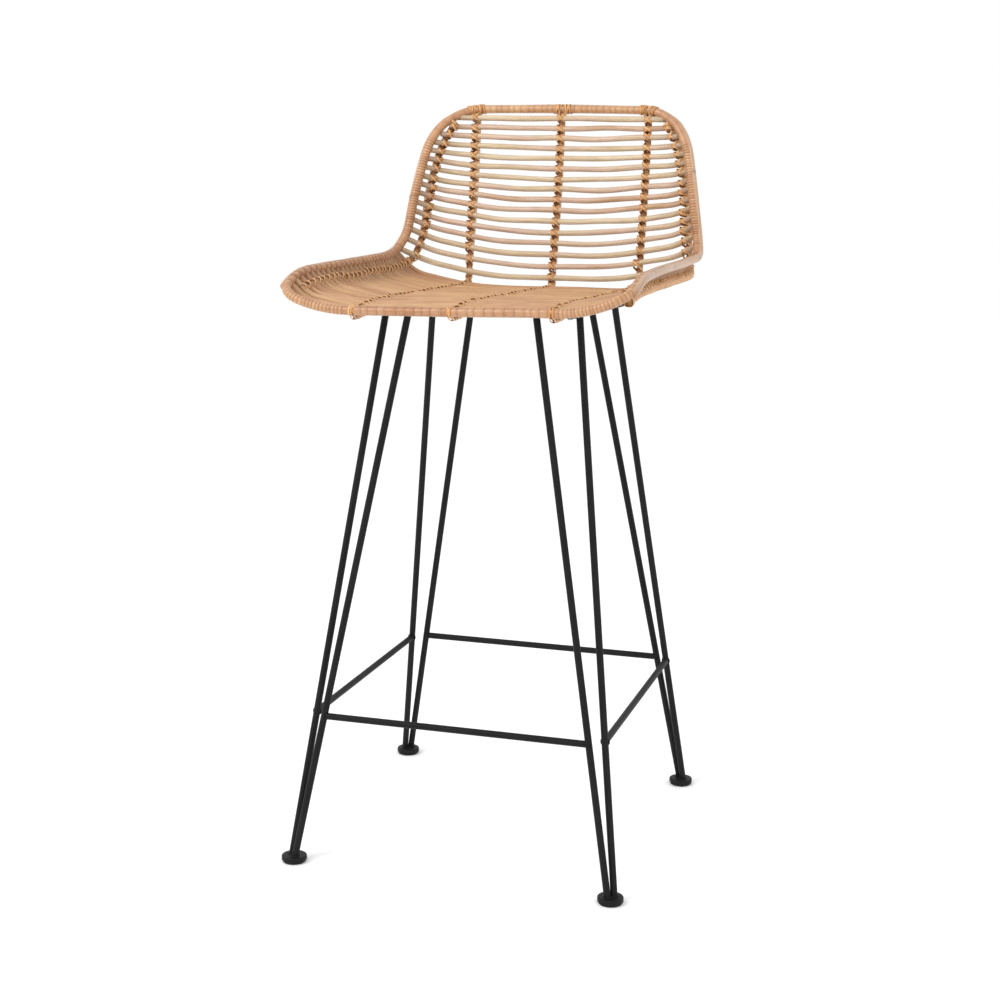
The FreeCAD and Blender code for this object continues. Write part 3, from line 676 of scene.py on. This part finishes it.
rib_lines = []
for name in ("centre_rib", "inner_rib_left", "inner_rib_right", "outer_rib_left", "outer_rib_right"):
    low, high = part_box(name)
    outer = max(high.x, -low.x) > OUTER_RIB_X
    across = (high.x if high.x > OUTER_RIB_X else low.x) if outer else (low.x + high.x) / 2
    solid = solids_in(name)[0]
    points = smoothed(both_ways(solid, (across, 0, low.z + RIB_START_RISE), (0, -1, 0), RIB_START_REACH))
    points = stretched(points, RIB_INTO_RIM, 0.0)
    if not outer:
        from_nose = np.linalg.norm(points - points[-1], axis=1)[:, None]
        points += NOSE_LIFT * np.clip(1 - from_nose / NOSE_TAPER, 0, 1) ** 2
    inside_of_bend = np.gradient(np.gradient(points, axis=0), axis=0)
    rib = Line(points, inside_of_bend + TOWARDS_FRONT)
    rib_lines.append(rib)
    rings = []
    bind(rings, RIB_END, rib.length - RIB_END, RIB_TURN, ROUND_CANE, core=RIB_CORE - 0.0002, seam_shade=0.55,
         uneven=0.25)
    stations, radii, painted_shades_and_nodes, tints = (np.array(column) for column in zip(*rings))
    if not outer:
        radii = radii * np.clip((rib.length - stations) / NOSE_TAPER, NOSE_SIZE, 1.0)
    bm = new_stock()
    verts = draw_stock(bm, stations, round_section(1.0, RIB_SIDES), radii, tints=tints,
                       painted_shades_and_nodes=painted_shades_and_nodes, lean=RIB_SLANT)
    lay_along(verts, rib)
    close_ends(bm, verts, material=0 if outer else 1)
    make_piece("pole_" + name, bm, [laced_cane, end_grain], [name])


# ---------------------------------------------------------------- lacing
# Split cane laces every reed to every rib. Two strands wind each way: over a reed slantwise, then behind
# the rib in the gap before the next, so that they cross in an X on each reed.
STRAND_WIDTH = 0.0024
STRAND_THICK = 0.0009
STRAND_SPREAD = 0.00175
LACE_REACH = 0.0050
SWING_REACH = 0.92 * LACE_REACH
CROSS_STEPS = 6
CROSSING_LIMIT = 0.013
BARE_GAP, BARE_SHARES, BARE_HEIGHT = 0.022, (0.33, 0.67), 0.001
EDGE_SHADE, EDGE_BAND = 0.55, 0.45


def strand_section(width):
    """A flat strip's six corners, as (side, front) pairs."""
    half_thick = STRAND_THICK / 2
    return [(-width / 2, 0), (-width / 4, half_thick), (width / 4, half_thick),
            (width / 2, 0), (width / 4, -half_thick), (-width / 4, -half_thick)]


def lay_strand(bm, points, fronts, width, closed=False):
    """A strip of split cane through points, its back towards fronts."""
    line = Line(points, fronts)
    verts = draw_stock(bm, line.run, strand_section(width), tints=random.uniform(0, 1),
                       shift=random.uniform(0, 9))
    painted_shade_and_nodes = bm.verts.layers.float["painted_shade_and_nodes"]
    # Painted shade along both edges of the strip, where it lies against what is under it.
    for vert in verts:
        vert[painted_shade_and_nodes] = EDGE_SHADE * (abs(vert.co.y) > EDGE_BAND * width)
    lay_along(verts, line)
    if closed:
        bmesh.ops.remove_doubles(bm, verts=verts, dist=1e-6)
    else:
        close_ends(bm, verts)


def crossings(rib):
    """Where reeds cross a rib: along the rib, the reed's height over it, and the way from rib to reed."""
    found = []
    for reed in reed_lines:
        gaps = np.linalg.norm(rib.points[:, None] - reed.points[None, :], axis=2)
        nearest = np.unravel_index(gaps.argmin(), gaps.shape)
        if gaps[nearest] < CROSSING_LIMIT:
            towards = reed.points[nearest[1]] - rib.points[nearest[0]]
            found.append((rib.run[nearest[0]], gaps[nearest], towards / gaps[nearest]))
    found.sort(key=lambda one: one[0])
    bare = [one + (two - one) * share for (one, *_), (two, *_) in zip(found, found[1:])
            if two - one > BARE_GAP for share in BARE_SHARES]
    fronts = [rib.read(rib.front, where) for where in bare]
    found += [(where, BARE_HEIGHT, front) for where, front in zip(bare, fronts)]
    return sorted(found, key=lambda one: one[0])


def lace_path(rib, found, way, offset, lift):
    """One strand's middle line and fronts, way 1 or -1, offset along the rib, lifted where it crosses."""
    points, fronts = [], []

    def add(where, towards, sideways, height, middle):
        along = rib.read(rib.along, where)
        towards = towards - along * (towards @ along)
        towards /= np.linalg.norm(towards)
        side = np.cross(along, towards)
        points.append(rib.at(where) + side * sideways + towards * height)
        fronts.append(side * sideways + towards * (height - middle))

    over = REED_RADIUS + STRAND_THICK / 2
    behind = RIB_CORE + STRAND_THICK / 2
    for (here, height, towards), (after, after_height, after_towards) in zip(found, found[1:]):
        quarter = min(over * 0.96, (after - here) / 4)
        for u in np.linspace(-1, 1, CROSS_STEPS, endpoint=False):
            rise = math.sqrt(max(over ** 2 - (u * quarter) ** 2, 0)) + lift * (1 - u * u)
            add(here + offset + u * quarter, towards, way * LACE_REACH * u, height + rise, height * 0.5)
        for v in np.linspace(0, 1, CROSS_STEPS, endpoint=False):
            where = here + offset + quarter + v * (after - here - 2 * quarter)
            swing = math.cos(math.pi * v)
            sideways = way * SWING_REACH * math.copysign(abs(swing) ** 0.6, swing)
            level = height * (1 - v) + after_height * v
            depth = math.sin(math.pi * v)
            add(where, towards * (1 - v) + after_towards * v, sideways,
                level * (1 - depth) - behind * depth, level * 0.3)
    return points, fronts


for name, rib in zip(("centre", "inner_left", "inner_right", "outer_left", "outer_right"), rib_lines):
    bm = new_stock()
    found = crossings(rib)
    for way, lift in ((1, 0.0), (-1, STRAND_THICK * 0.8)):
        for offset in (-STRAND_SPREAD / 2, STRAND_SPREAD / 2):
            lay_strand(bm, *lace_path(rib, found, way, offset, lift), STRAND_WIDTH)
    make_piece("lacing_" + name, bm, [laced_cane])


# ---------------------------------------------------------------- knots
# Where a rib meets the rim the strands finish in a lashing: turns round the rim on both sides of the rib,
# and a slanting pair each way round the rim and the rib together.
KNOT_WIDTH = 0.0028
KNOT_STEPS = 22
KNOT_PITCH = 0.95 * KNOT_WIDTH
RIM_LASHING = RIM_CORE + 0.0014
NOSE_LASHING = RIM_CORE + 0.0012
BESIDE_RIB = 0.0075


def loop_band(bm, centre, first, second, reach_first, reach_second, square=0.75):
    """A closed band round centre, reaching along two directions, squarer as square falls below 1."""
    first, second = Vector(first).normalized(), Vector(second).normalized()
    points, fronts = [], []
    for angle in np.linspace(0, 2 * math.pi, KNOT_STEPS + 1):
        one = math.copysign(abs(math.cos(angle)) ** square, math.cos(angle)) * reach_first
        two = math.copysign(abs(math.sin(angle)) ** square, math.sin(angle)) * reach_second
        points.append(Vector(centre) + first * one + second * two)
        fronts.append(first * one + second * two)
    lay_strand(bm, points, fronts, KNOT_WIDTH, closed=True)


def lash_rim(bm, where, turns, radius):
    """Turns round the rim alone, leaning a little each way."""
    for k in range(turns):
        here = where + (k - (turns - 1) / 2) * KNOT_PITCH
        lean = random.uniform(-0.35, 0.35)
        across = rim.read(rim.side, here) + rim.read(rim.along, here) * lean
        loop_band(bm, rim.at(here), rim.read(rim.front, here), across, radius, radius, square=0.95)


def lash_joint(bm, where, rib_end, rib_radius, slants=(-0.9, -0.5, 0.5, 0.9)):
    """Slanting turns round the rim and a rib's end together, crossing each other."""
    on_rim = Vector(rim.at(where))
    down = (rib_end - on_rim).normalized()
    top = on_rim - down * (RIM_CORE + 0.0010)
    bottom = rib_end + down * (rib_radius + 0.0006)
    along = Vector(rim.read(rim.along, where))
    through = along.cross(down).normalized()
    for slant in slants:
        across = through + along * slant
        loop_band(bm, (top + bottom) / 2 + along * slant * 0.001, down, across,
                  (bottom - top).length / 2, NOSE_LASHING)


bm = new_stock()
for rib in rib_lines[:3]:
    top = Vector(rib.points[0])
    where = rim.nearest(top)
    for side in (-BESIDE_RIB, BESIDE_RIB):
        lash_rim(bm, where + side, 3, RIM_LASHING)
    lash_joint(bm, where, top + Vector(rib.along[3]) * 0.006, RIB_CORE)
    nose = Vector(rib.at(rib.length - 0.003))
    where = rim.nearest(nose)
    lash_rim(bm, where, 2, NOSE_LASHING)
    lash_joint(bm, where, nose, RIB_CORE * NOSE_SIZE, slants=(-0.7, 0.7))
make_piece("rim_knots", bm, [laced_cane])

# Each outer rib starts in a knot on the second reed and ends in one bound to the rim's front corner.
bm = new_stock()
for rib in rib_lines[3:]:
    for here in (0.001, 0.0035, 0.006):
        loop_band(bm, rib.at(here), rib.read(rib.side, here), rib.read(rib.front, here), 0.0058, 0.0085)
    for back in (0.002, 0.0045, 0.007):
        here = rib.length - back
        loop_band(bm, rib.at(here), rib.read(rib.side, here), rib.read(rib.front, here), 0.0052, 0.0052)
make_piece("outer_rib_knots", bm, [laced_cane])


# ---------------------------------------------------------------- weld beads
# The rods are welded to the rungs and the discs with a small rippled bead all round, under the paint.
BEAD_THICK = 0.0012
BEAD_SIDES, BEAD_STEPS = 8, 20
RIPPLE = 0.00025
ROD_RADIUS = 0.0042
DISC_TOP = 0.0084
LOW_CUT, HIGH_CUT = 0.012, 0.112
UP = np.array([0, 0, 1.0])


def weld_bead(bm, centre, axis, radius):
    """A rippled ring of weld metal round a rod's end."""
    axis = Vector(axis).normalized()
    start = len(bm.verts)
    turn = Matrix.Translation(centre) @ axis.to_track_quat("Z", "Y").to_matrix().to_4x4()
    upright = Matrix.Translation((radius, 0, 0)) @ Matrix.Rotation(math.pi / 2, 4, "X")
    profile = bmesh.ops.create_circle(bm, segments=BEAD_SIDES, radius=BEAD_THICK, matrix=turn @ upright)
    edges = list({edge for vert in profile["verts"] for edge in vert.link_edges})
    bmesh.ops.spin(bm, geom=profile["verts"] + edges, cent=centre, axis=axis, angle=2 * math.pi,
                   steps=BEAD_STEPS, use_merge=True)
    for vert in list(bm.verts)[start:]:
        offset = vert.co - Vector(centre)
        flat = offset - axis * offset.dot(axis)
        vert.co += flat.normalized() * random.uniform(-RIPPLE, RIPPLE)


bm = bmesh.new()
for name in ("front_rung", "back_rung", "left_rung", "right_rung"):
    low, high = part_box(name)
    middle = (low + high) / 2
    half_span = (high - low) / 2
    reach = Vector((half_span.x, 0, 0) if half_span.x > half_span.y else (0, half_span.y, 0))
    for end in (middle + reach, middle - reach):
        weld_bead(bm, end, reach, ROD_RADIUS + 0.0004)
for name in steel_nodes:
    if "_rod_" in name:
        solid = solids_in(name)[0]
        foot = cut_across(solid, UP * LOW_CUT, UP, ANYWHERE)
        higher = cut_across(solid, UP * HIGH_CUT, UP, ANYWHERE)
        axis = Vector(higher - foot).normalized()
        weld_bead(bm, Vector(foot) + axis * (DISC_TOP - foot[2]), (0, 0, 1), ROD_RADIUS + 0.0006)
finish_piece("weld_beads", bm, [black_steel])
